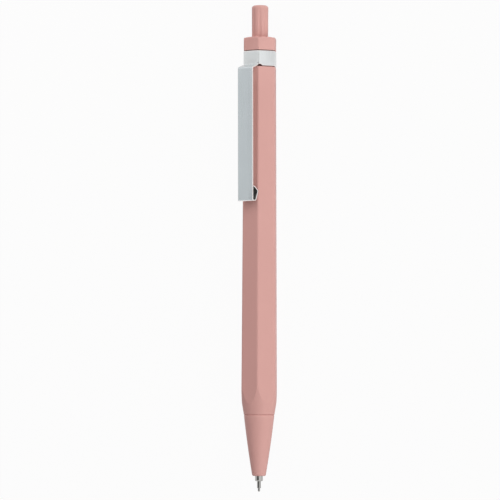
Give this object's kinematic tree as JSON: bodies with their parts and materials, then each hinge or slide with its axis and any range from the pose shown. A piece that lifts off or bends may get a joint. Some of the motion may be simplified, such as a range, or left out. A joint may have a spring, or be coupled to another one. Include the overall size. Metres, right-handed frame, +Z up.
{
  "type": "retractable pen",
  "caption": "Hexagonal rose plastic push-button pen with a sheet steel pocket clip, screw-on conical nose and fine metal writing tip.",
  "frame": {"origin": "on the ground under the middle of the pen's length, with the pen lying on the flat opposite its clip and the point out", "axes": "+X along the pen's axis from the writing point to the push button, +Z up through the clip, +Y across"},
  "size_m": [0.1422, 0.0112, 0.0126],
  "materials": {
    "rose_plastic": "smooth matte rose plastic",
    "clip_steel": "satin stainless sheet",
    "spring_steel": "drawn spring wire",
    "white_nylon": "moulded nylon",
    "tube_plastic": "translucent tube plastic",
    "tip_nickel": "turned and polished nickel",
    "blue_ink": "wet ink",
    "follower_grease": "clear amber grease"
  },
  "bodies": {
    "pen_body": {"barrel": "rose_plastic", "top_collar": "rose_plastic", "clip_band": "clip_steel", "cam_sleeve": "white_nylon"},
    "nose": {"nose_cone": "rose_plastic", "return_spring": "spring_steel"},
    "clip": {"clip_arm": "clip_steel"},
    "button": {"push_button": "rose_plastic", "thrust_plunger": "white_nylon"},
    "refill": {"refill_tube": "tube_plastic", "spring_seat": "tube_plastic", "tip_holder": "tip_nickel", "writing_point": "tip_nickel", "ink_column": "blue_ink", "ink_follower": "follower_grease", "rear_plug": "white_nylon"},
    "rotor": {"cam_rotor": "white_nylon"},
    "ball": {"writing_ball": "tip_nickel"}
  },
  "joints": [
    {"name": "button_slide", "type": "slide", "parent": "pen_body", "child": "button", "axis": [1, 0, 0], "range_m": [-0.001, 0.0055]},
    {"name": "refill_slide", "type": "slide", "parent": "pen_body", "child": "refill", "axis": [1, 0, 0], "range_m": [-0.001, 0.0055], "deforming": ["return_spring"]},
    {"name": "cam_turn", "type": "hinge", "parent": "refill", "child": "rotor", "pos_m": [0.03805, 0, 0.00498], "axis": [1, 0, 0], "range_deg": [-9, 46]},
    {"name": "ball_roll", "type": "hinge", "parent": "refill", "child": "ball", "pos_m": [-0.07086, 0, 0.00498], "axis": [0, 1, 0], "continuous": true},
    {"name": "clip_flex", "type": "hinge", "parent": "pen_body", "child": "clip", "pos_m": [0.05337, 0, 0.0094], "axis": [0, 1, 0], "range_deg": [0, 3.5], "stiffness_Nm_per_rad": 0.8},
    {"name": "nose_unscrew", "type": "slide", "parent": "pen_body", "child": "nose", "axis": [-1, 0, 0], "range_m": [0, 0.01]}
  ],
  "couplings": [
    {"joint": "refill_slide", "follows": "button_slide", "ratio": 1},
    {"joint": "cam_turn", "follows": "button_slide", "rad_per_m": 142.8}
  ]
}
